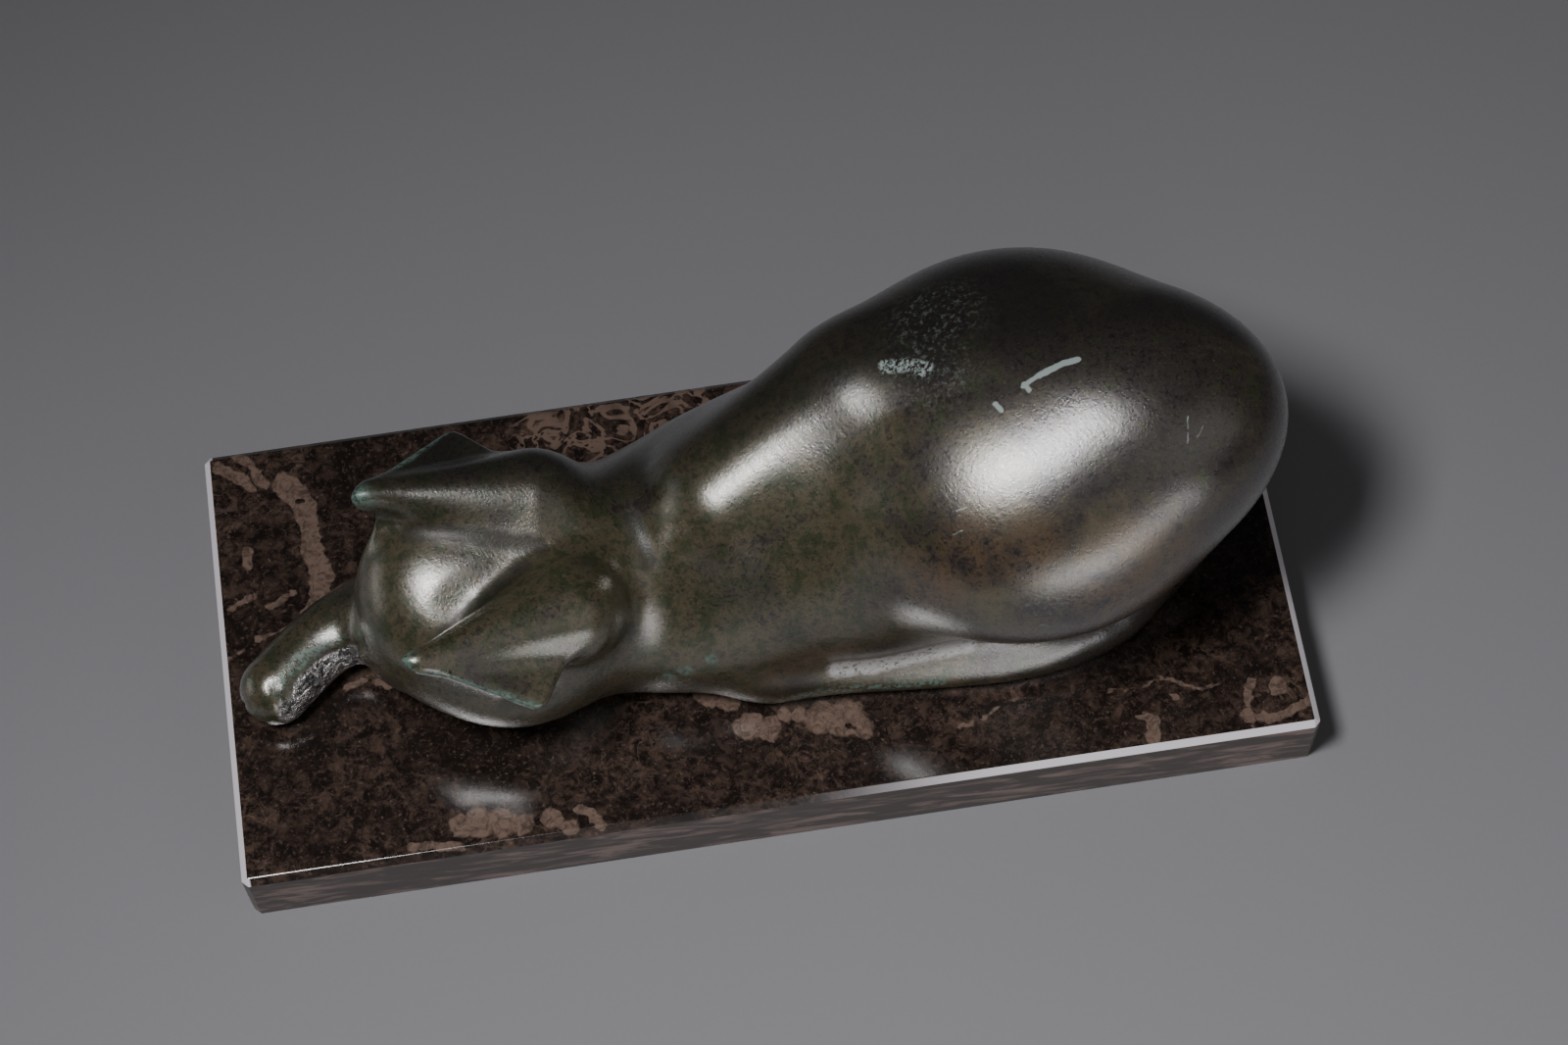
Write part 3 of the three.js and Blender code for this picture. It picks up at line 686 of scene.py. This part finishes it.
def bronze_finish(settings):
    """Cast bronze under a brown and olive patina, worn to a satin gloss, with painted shade and a painted
    highlight.
    """
    wiring = Wiring("patinated bronze", BRONZE_LOOK)
    fade, faint, blend, level = wiring.fade, wiring.faint, wiring.blend, wiring.level
    times, highest = wiring.times, wiring.highest
    ragged = wiring.warped(wiring.places, **BRONZE_RAGGED)
    cloud = wiring.pattern("cloud")
    mottle = wiring.pattern("mottle")
    grain = wiring.pattern("grain")
    fine = wiring.pattern("fine")

    # The patina's clouds, greener towards the head, with dark grain and worn places, and painted shade on the
    # far side, in the head's valleys, at the neck's crease and at the hind toe.
    forward = fade(wiring.axis("X", ragged), "head_end")
    greened = wiring.plus(faint(forward, "head_olive"), cloud)
    colour = blend(fade(greened, "olive"), settings.umber, settings.olive)
    patchy = wiring.plus(faint(forward, "head_moss"), mottle)
    colour = blend(fade(patchy, "moss"), colour, settings.moss)
    colour = blend(faint(fade(mottle, "dark_mottle"), "dark_mottle"), colour, settings.soot_and_shade)
    worn = times(wiring.spots(ragged, WORN_BROWN), fade(mottle, "brown"))
    colour = blend(worn, colour, settings.brown)
    colour = blend(faint(fade(grain, "sparks"), "sparks"), colour, settings.rubbed_and_sheen)
    colour = blend(faint(fade(grain, "dark_grain"), "dark_grain"), colour, settings.soot_and_shade)
    darkened = times(fade(fine, "dark_fine"), fade(cloud, "dark_cloud"))
    colour = blend(faint(darkened, "dark_fine"), colour, settings.soot_and_shade)
    # Painted shade: the far side of the cat is darkened towards near-black.
    far_side_shade = faint(fade(wiring.axis("Y", ragged), "far_side_shade"), "far_side_shade")
    # Painted shade: the head's valleys, the neck's crease and the hind toe are darkened towards near-black.
    recess_shade = fade(wiring.lines(ragged, SHADED_RECESSES), "recess_shade")
    painted_shade = faint(highest(wiring.spots(ragged, SHADED_TOE), recess_shade), "recess_shade")
    colour = blend(highest(far_side_shade, painted_shade), colour, settings.soot_and_shade)

    # Verdigris on rims, edges and tips.
    rims = fade(wiring.lines(ragged, EAR_RIMS), "ear_rim")
    edges = fade(wiring.lines(ragged, FOOT_EDGE + PAW_EDGE), "low_edge")
    edges = times(edges, fade(fine, "low_edge_breaks"))
    gathered = highest(wiring.spots(ragged, EAR_TIPS + VERDIGRIS), rims, edges)
    green = times(gathered, fade(fine, "verdigris"))
    colour = blend(green, colour, settings.verdigris)

    # Bright metal on the paw's pitted side, and a painted highlight of bright metal along the hind foot.
    strip = fade(wiring.lines(ragged, PAW_STRIP), "paw_strip")
    pitting = wiring.pattern("pitting")
    silver = times(strip, fade(pitting, "silver"))
    colour = blend(strip, colour, settings.soot_and_shade)
    colour = blend(silver, colour, settings.silver)
    # Painted highlight: a strip of bright, shiny metal along the hind foot.
    rubbed_and_sheen = fade(wiring.lines(ragged, FOOT_SHEEN_STRIP), "foot_sheen")
    rubbed_and_sheen = times(rubbed_and_sheen, fade(fine, "foot_sheen_breaks"))
    colour = blend(rubbed_and_sheen, colour, settings.silver)

    # Scrapes and speckles of pale metal on the back.
    speckled = times(wiring.spots(ragged, SPECKLED_AREA), fade(fine, "speckles"))
    bare = fade(wiring.lines(ragged, STREAKED_PATCH), "streaked_patch")
    bare = times(bare, fade(fine, "streaked_patch_breaks"))
    bare = highest(bare, faint(speckled, "speckles"))
    crisp = wiring.warped(wiring.places, **BRONZE_CRISP)
    for width, paths in SCRAPES:
        scrape = wiring.step(wiring.lines(crisp, paths), width + SCRAPE_EDGE, width - SCRAPE_EDGE)
        bare = highest(bare, scrape)
    colour = blend(bare, colour, settings.scraped)

    # Gloss, relief and the clear layer over the patina, which is worn through on scrapes, verdigris, bright
    # metal, the painted highlight along the foot and the valleys painted with shade.
    dull = highest(bare, green)
    roughness = BRONZE_ROUGHNESS
    rough = level(fade(fine, "dulled_grain"), settings.gloss, settings.gloss + roughness["more_on_grain"])
    rough = level(silver, level(rubbed_and_sheen, rough, roughness["rubbed_and_sheen"]), roughness["silver"])
    rough = level(recess_shade, level(dull, rough, roughness["matte"]), roughness["matte"])
    metal = BRONZE_METALLIC
    metallic = level(silver, level(rubbed_and_sheen, metal["patina"], metal["rubbed_and_sheen"]), metal["silver"])
    metallic = level(dull, metallic, metal["dull"])
    streaks = wiring.pattern("streaks", wiring.stretched(**BRONZE_STREAKS))
    grained = wiring.bump(grain, BRONZE_RELIEF["grain"])
    streaked = wiring.bump(streaks, BRONZE_RELIEF["streaks"], grained)
    pits = level(strip, NOISE_MIDDLE, pitting)
    pitted = wiring.bump(pits, BRONZE_RELIEF["pits"], streaked)
    worn_through = highest(dull, silver, rubbed_and_sheen, recess_shade)
    coat = level(worn_through, BRONZE_COAT["full"], BRONZE_COAT["worn"])
    return wiring.finish(Base_Color=colour, Metallic=metallic, Roughness=rough, Normal=pitted,
                         Coat_Weight=coat, Coat_Roughness=settings.gloss, Coat_IOR=BRONZE_COAT["ior"],
                         Coat_Normal=pitted)


# Fossils in the marble's top, in millimetres: bent bands by half width, and patches as x, y and radius.
BANDS = (
    (2.5, (
        ((-106.3, 44.2), (-102.5, 39.1), (-101.1, 32.3), (-101.3, 27.2), (-99.6, 20.2), (-100.3, 15.2)),
    )),
    (1.2, (
        ((-100.3, 15.2), (-104.7, 9.8)),
        ((-117.7, 54.5), (-110.5, 45.4)),
        ((-121.1, 51.3), (-113.8, 44.9)),
        ((-116.1, 28.8), (-117.4, 24.6)),
        ((111.3, -42.0), (108.7, -47.5), (108.8, -51.7), (115.5, -51.3), (120.8, -49.4), (126.1, -45.8)),
        ((84.4, -46.3), (86.4, -47.6), (86.2, -52.5)),
        ((-47.0, -48.7), (-42.8, -51.8), (-41.2, -56.8)),
        ((-85.7, -52.2), (-79.0, -52.3), (-72.3, -54.8)),
    )),
    (0.8, (
        ((-122.5, 13.9), (-115.2, 17.1)),
        ((-112.5, 13.6), (-106.9, 16.5)),
        ((-96.3, -10.7), (-93.2, -9.2), (-87.9, -11.3)),
    )),
    (0.45, (
        ((-124.1, 0.0), (-118.0, 4.0), (-109.1, 7.2)),
        ((77.8, -38.8), (84.8, -38.5), (90.7, -37.4), (97.4, -41.2), (104.9, -41.5)),
        ((42.1, -43.2), (50.1, -39.6), (57.4, -37.1)),
    )),
)
BAND_EDGE = dict(outside=0.25, inside=0.15)
PATCHES = (
    (-74.0, -48.4, 2.6), (-69.5, -48.2, 3.6), (-64.5, -48.9, 3.8), (-60.0, -50.2, 2.8), (-53.2, -49.5, 2.4),
    (-50.0, -52.5, 2.2), (-13.5, -25.5, 3.2), (-9.0, -28.0, 2.6), (-5.5, -34.8, 3.2), (-1.0, -35.8, 3.0),
    (3.5, -33.2, 2.0), (6.5, -33.4, 1.8), (11.5, -35.5, 4.2), (16.5, -36.0, 4.8), (20.0, -39.0, 3.0),
    (117.5, -44.0, 1.8), (92.4, -43.2, 0.7),
)
PATCH_FADE = 0.12
HOLES = ((-102.8, 39.5, 0.7), (17.9, -38.9, 1.0), (-8.0, -31.0, 0.7), (9.0, -30.8, 0.8), (1.0, -31.5, 0.8))
SWIRLS = ((-44.0, 48.0, 7.0), (-32.0, 47.0, 9.0), (-19.0, 50.0, 8.0), (-6.0, 52.0, 7.0))

# The marble's noises and fades are given as the bronze's are. The side and the chamfer fade by height
# in millimetres, the pale parts of the chamfer by the place along the slab in metres, and the specks,
# veins and swirls by how far their noise is from its middle.
MARBLE_LOOK = dict(
    noises=dict(
        mottle=(3.4, 9, 0.8, 0.5),
        patches=(19, 4, 0.6, 0.8),
        crumbs=(1.1, 4, 0.75),
        contour=(9, 3, 0.55, 1.1),
        growth=(2.4, 6, 0.75, 1.5),
        beds=(2.2, 5, 0.62, 0.6),
    ),
    fades=dict(
        brown=(0.42, 0.64),
        brown_patches=(0.26, 0.6),
        crumbs=(0.54, 0.7),
        vein=(0.02, 0.004),
        vein_patches=(0.52, 0.64),
        speck=(0.15, 0.05),
        speck_breaks=(0.46, 0.56),
        swirl=(0.05, 0.02),
        growth=(0.36, 0.6),
        hole=(0.7, 0.3),
        beds=(0.46, 0.66),
        side=(18.55, 18.4),
        above_side=(18.4, 18.55),
        below_top=(19.98, 19.9),
        right_half=(0.0, 0.06),
        left_end=(-0.1227, -0.1232),
    ),
    strengths=dict(crumbs=0.45, vein=0.35, speck=0.7, swirl=0.8),
)
MARBLE_RAGGED = (dict(size=7, amount=2.2), dict(size=1.8, amount=0.9))
MARBLE_BEDS = dict(scale=(7.0, 7.0, 1.2), turn=(0.0, 4.0, 0.0))
MARBLE_ROUGHNESS = dict(polished=0.14, sawn=0.3, honed_and_sheen=0.3)
MARBLE_SPECULAR = 0.5
SPECK_SPACING = 3.4
GROWTH = dict(least=0.3, full=1.0)


def on_top(marks):
    """Marks given by x and y, laid on the slab's top."""
    return [(x, y, GROUND, *rest) for x, y, *rest in marks]


def marble_finish(settings):
    """Polished dark limestone full of broken shells."""
    wiring = Wiring("fossil marble", MARBLE_LOOK)
    fade, faint, blend, level = wiring.fade, wiring.faint, wiring.blend, wiring.level
    times, highest = wiring.times, wiring.highest
    ragged = wiring.places
    for warp in MARBLE_RAGGED:
        ragged = wiring.warped(ragged, **warp)
    mottle = wiring.pattern("mottle")
    patches = wiring.pattern("patches")
    crumbs = wiring.pattern("crumbs")
    stone = times(fade(mottle, "brown"), fade(patches, "brown_patches"))
    colour = blend(stone, settings.dark_stone, settings.brown_stone)
    colour = blend(faint(fade(crumbs, "crumbs"), "crumbs"), colour, settings.shell)

    # Thin veins, specks and swirls of shell.
    contour = wiring.calculate("SUBTRACT", wiring.pattern("contour"), NOISE_MIDDLE)
    apart = wiring.calculate("ABSOLUTE", contour)
    vein = times(fade(apart, "vein"), fade(patches, "vein_patches"))
    cells = wiring.node("TexVoronoi", dict(feature="F1"), Vector=ragged, Scale=PER_METRE / SPECK_SPACING)
    speck = times(fade(cells.outputs["Distance"], "speck"), fade(crumbs, "speck_breaks"))
    swirl = times(fade(apart, "swirl"), wiring.spots(ragged, on_top(SWIRLS)))
    shell = highest(faint(vein, "vein"), faint(speck, "speck"), faint(swirl, "swirl"))

    # The larger fossils, with their holes.
    fossil = wiring.spots(ragged, on_top(PATCHES), PATCH_FADE)
    for width, paths in BANDS:
        away = wiring.lines(ragged, [on_top(path) for path in paths])
        band = wiring.step(away, width + BAND_EDGE["outside"], width - BAND_EDGE["inside"])
        fossil = highest(fossil, band)
    grown = level(fade(wiring.pattern("growth"), "growth"), GROWTH["least"], GROWTH["full"])
    shell = highest(shell, times(fossil, grown))
    shell = times(shell, fade(wiring.spots(ragged, on_top(HOLES)), "hole"))
    colour = blend(shell, colour, settings.shell)

    # The sawn sides, and the ground chamfer, with a painted reflection of the lights as pale stone on its
    # right half and at its left end.
    height = times(wiring.axis("Z"), PER_METRE)
    side = fade(height, "side")
    beds = wiring.pattern("beds", wiring.stretched(**MARBLE_BEDS))
    sawn = blend(fade(beds, "beds"), settings.sawn_dark, settings.sawn_pale)
    colour = blend(side, colour, sawn)
    chamfer = times(fade(height, "above_side"), fade(height, "below_top"))
    along = wiring.axis("X")
    # Painted reflection: the chamfer is painted pale on its right half and at its left end, where it mirrors
    # the lights.
    honed_and_sheen = times(chamfer, highest(fade(along, "right_half"), fade(along, "left_end")))
    colour = blend(honed_and_sheen, colour, settings.honed_and_sheen)
    rough = level(side, MARBLE_ROUGHNESS["polished"], MARBLE_ROUGHNESS["sawn"])
    rough = level(chamfer, rough, MARBLE_ROUGHNESS["honed_and_sheen"])
    return wiring.finish(Base_Color=colour, Roughness=rough, Specular_IOR_Level=MARBLE_SPECULAR)


PAPER_LOOK = dict(noises=dict(fibre=(1.5, 4, 0.7)))
PAPER_SHADE = 0.94
PAPER_ROUGHNESS = 0.85
PAPER_SPECULAR = 0.2


def paper_finish(settings):
    """Plain pale paper."""
    wiring = Wiring("pale paper", PAPER_LOOK)
    shaded = [value * PAPER_SHADE for value in settings.paper[:3]] + [1.0]
    colour = wiring.blend(wiring.pattern("fibre"), settings.paper, shaded)
    return wiring.finish(Base_Color=colour, Roughness=PAPER_ROUGHNESS, Specular_IOR_Level=PAPER_SPECULAR)


def colour_setting(name, description, default):
    """A colour that a user may change."""
    return bpy.props.FloatVectorProperty(name=name, description=description, default=(*default, 1.0), size=4,
                                         min=0.0, max=1.0, subtype="COLOR")


def power_setting(name, description, default):
    """A softbox's power that a user may change."""
    return bpy.props.FloatProperty(name=name, description=description, default=default, min=0.0, max=500.0,
                                   unit="POWER")


class BronzeSettings(bpy.types.PropertyGroup):
    """Sizes and colours of the casting."""

    refinement: bpy.props.IntProperty(
        name="Refinement", description="How often the solid's faces are cut in four", default=2, min=0, max=2)
    gloss: bpy.props.FloatProperty(
        name="Gloss roughness", description="Roughness of the rubbed patina", default=0.25, min=0.05, max=0.9,
        subtype="FACTOR")
    umber: colour_setting("Umber", "Darkest brown of the patina", (0.044, 0.034, 0.029))
    olive: colour_setting("Olive", "Olive cast of the patina", (0.105, 0.087, 0.048))
    moss: colour_setting("Moss", "Green mottling", (0.046, 0.052, 0.022))
    brown: colour_setting("Brown", "Warm brown where the patina is worn", (0.11, 0.07, 0.038))
    # Soot also gives the painted shade on the far side, in the head's valleys, at the neck's crease and at
    # the hind toe.
    soot_and_shade: colour_setting("Soot", "Near-black grain of the patina", (0.01, 0.009, 0.008))
    rubbed_and_sheen: colour_setting("Rubbed", "Metal that shows through the patina", (0.26, 0.235, 0.2))
    verdigris: colour_setting("Verdigris", "Blue-green bloom in corners and on rims", (0.12, 0.2, 0.17))
    # Silver also paints the highlight strip along the hind foot.
    silver: colour_setting("Silver", "Bright metal on the paw and the hind foot", (0.55, 0.53, 0.52))
    scraped: colour_setting("Scraped", "Pale metal in scrapes", (0.3, 0.37, 0.35))


class PlinthSettings(bpy.types.PropertyGroup):
    """Sizes and colours of the marble slab."""

    chamfer: bpy.props.FloatProperty(
        name="Chamfer", description="Width of the slab's chamfers", default=0.0015, min=0.0, max=0.01,
        unit="LENGTH", subtype="DISTANCE")
    dark_stone: colour_setting("Dark stone", "Ground of the marble", (0.01, 0.007, 0.006))
    brown_stone: colour_setting("Brown stone", "Clouds in the marble", (0.078, 0.05, 0.038))
    shell: colour_setting("Shell", "Fossil shells in the marble", (0.17, 0.118, 0.092))
    sawn_dark: colour_setting("Sawn dark", "Dark beds in the slab's sides", (0.065, 0.05, 0.044))
    sawn_pale: colour_setting("Sawn pale", "Pale beds in the slab's sides", (0.24, 0.175, 0.145))
    # The chamfers' pale colour is a painted reflection of the lights.
    honed_and_sheen: colour_setting("Honed", "Pale ground stone on the chamfers", (0.75, 0.72, 0.75))


class StageSettings(bpy.types.PropertyGroup):
    """Paper, lights and camera."""

    paper: colour_setting("Paper", "Colour of the floor", (0.245, 0.246, 0.26))
    room: colour_setting("Room", "Faint light from all around", (0.032, 0.032, 0.034))
    main_power: power_setting("Main softbox", "Power of the softbox above the head", 2.7)
    side_power: power_setting("Side softbox", "Power of the low softbox on the near side", 1.5)
    right_power: power_setting("Right softbox", "Power of the broad softbox at the right", 0.7)
    left_power: power_setting("Left softbox", "Power of the low softbox at the left", 0.6)


class CastCat(bpy.types.Operator):
    """Make the bronze cat's fine surface from its solid"""

    bl_idname = "bronze_cat.cast_cat"
    bl_label = "Cast the Cat"

    def execute(self, context):
        settings = context.scene.bronze_settings
        form = finer_copy("bronze_cat", settings.refinement)
        for face in form.faces:
            face.smooth = True
        piece = finished(form, "cat_casting", bronze_finish(settings))
        sculpt_cat(piece.data)
        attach(piece, "root")
        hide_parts("bronze_cat")
        return {"FINISHED"}


class CutPlinth(bpy.types.Operator):
    """Cut the marble slab and soften its edges"""

    bl_idname = "bronze_cat.cut_plinth"
    bl_label = "Cut the Plinth"

    def execute(self, context):
        settings = context.scene.plinth_settings
        form = bmesh.new()
        bmesh.ops.create_cube(form, size=1.0)
        bmesh.ops.scale(form, vec=SLAB_HIGH - SLAB_LOW, verts=form.verts)
        bmesh.ops.translate(form, vec=(SLAB_LOW + SLAB_HIGH) / 2, verts=form.verts)
        underside = SLAB_LOW.z + settings.chamfer
        sharp = [edge for edge in form.edges if max(vert.co.z for vert in edge.verts) > underside]
        bmesh.ops.bevel(form, geom=sharp, offset=settings.chamfer, affect="EDGES", segments=1, profile=0.5,
                        material=-1)
        bmesh.ops.bevel(form, geom=list(form.edges), offset=settings.chamfer / EASING, affect="EDGES",
                        segments=2, profile=0.5, material=-1)
        piece = finished(form, "marble_slab", marble_finish(settings))
        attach(piece, "root")
        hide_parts("marble_plinth")
        return {"FINISHED"}


def softbox(name, power, place, target, size, tint, spread=180.0):
    """An area light that faces its target. Places are in millimetres, and the size in metres."""
    lamp = bpy.data.lights.new(name, "AREA")
    lamp.shape = "RECTANGLE"
    lamp.size, lamp.size_y = size
    lamp.energy = power
    lamp.color = tint
    lamp.spread = math.radians(spread)
    made = bpy.data.objects.new(name, lamp)
    bpy.context.scene.collection.objects.link(made)
    made.location = Vector(place) * MM
    made.rotation_euler = (Vector(target) * MM - made.location).to_track_quat("-Z", "Y").to_euler()


def photograph_camera():
    """The camera at the photograph's place, turn and lens."""
    azimuth, elevation, roll = (math.radians(CAMERA[name]) for name in ("azimuth", "elevation", "roll"))
    level = math.cos(elevation)
    back = Vector((math.sin(azimuth) * level, -math.cos(azimuth) * level, math.sin(elevation)))
    sideways = Vector((0, 0, 1)).cross(back).normalized()
    upright = back.cross(sideways)
    right = sideways * math.cos(roll) + upright * math.sin(roll)
    up = upright * math.cos(roll) - sideways * math.sin(roll)
    data = bpy.data.cameras.new("photograph camera")
    data.lens = CAMERA["lens"]
    data.sensor_width = CAMERA["sensor"]
    data.dof.use_dof = False
    camera = bpy.data.objects.new("photograph camera", data)
    bpy.context.scene.collection.objects.link(camera)
    place = (Vector(CAMERA["target"]) + back * CAMERA["distance"]) * MM
    camera.matrix_world = Matrix.Translation(place) @ Matrix((right, up, back)).transposed().to_4x4()
    bpy.context.scene.camera = camera


class SetStage(bpy.types.Operator):
    """Lay the paper, hang the lights and place the camera"""

    bl_idname = "bronze_cat.set_stage"
    bl_label = "Set the Stage"

    def execute(self, context):
        settings = context.scene.stage_settings
        form = bmesh.new()
        bmesh.ops.create_circle(form, cap_ends=True, **FLOOR)
        floor = finished(form, "paper_floor", paper_finish(settings))
        for name, box in SOFTBOXES.items():
            softbox(name + " softbox", getattr(settings, name + "_power"), **box)
        world = bpy.data.worlds.new("studio")
        world.use_nodes = True
        world.node_tree.nodes["Background"].inputs["Color"].default_value = settings.room
        context.scene.world = world
        photograph_camera()
        return {"FINISHED"}


class BronzeCatPanel(bpy.types.Panel):
    """Lists the steps and their settings"""

    bl_idname = "VIEW3D_PT_bronze_cat"
    bl_label = "Bronze Cat"
    bl_space_type = "VIEW_3D"
    bl_region_type = "UI"
    bl_category = "Bronze Cat"

    def draw(self, context):
        scene = context.scene
        for settings, operator in ((scene.bronze_settings, CastCat), (scene.plinth_settings, CutPlinth),
                                   (scene.stage_settings, SetStage)):
            box = self.layout.box()
            for name in settings.__annotations__:
                box.prop(settings, name)
            box.operator(operator.bl_idname)


CLASSES = (BronzeSettings, PlinthSettings, StageSettings, CastCat, CutPlinth, SetStage, BronzeCatPanel)


def register():
    for each in CLASSES:
        bpy.utils.register_class(each)
    bpy.types.Scene.bronze_settings = bpy.props.PointerProperty(type=BronzeSettings)
    bpy.types.Scene.plinth_settings = bpy.props.PointerProperty(type=PlinthSettings)
    bpy.types.Scene.stage_settings = bpy.props.PointerProperty(type=StageSettings)


def unregister():
    del bpy.types.Scene.stage_settings
    del bpy.types.Scene.plinth_settings
    del bpy.types.Scene.bronze_settings
    for each in reversed(CLASSES):
        bpy.utils.unregister_class(each)


def main():
    register()
    bpy.ops.bronze_cat.set_stage()
    bpy.ops.bronze_cat.cut_plinth()
    bpy.ops.bronze_cat.cast_cat()


if __name__ == "__main__":
    main()
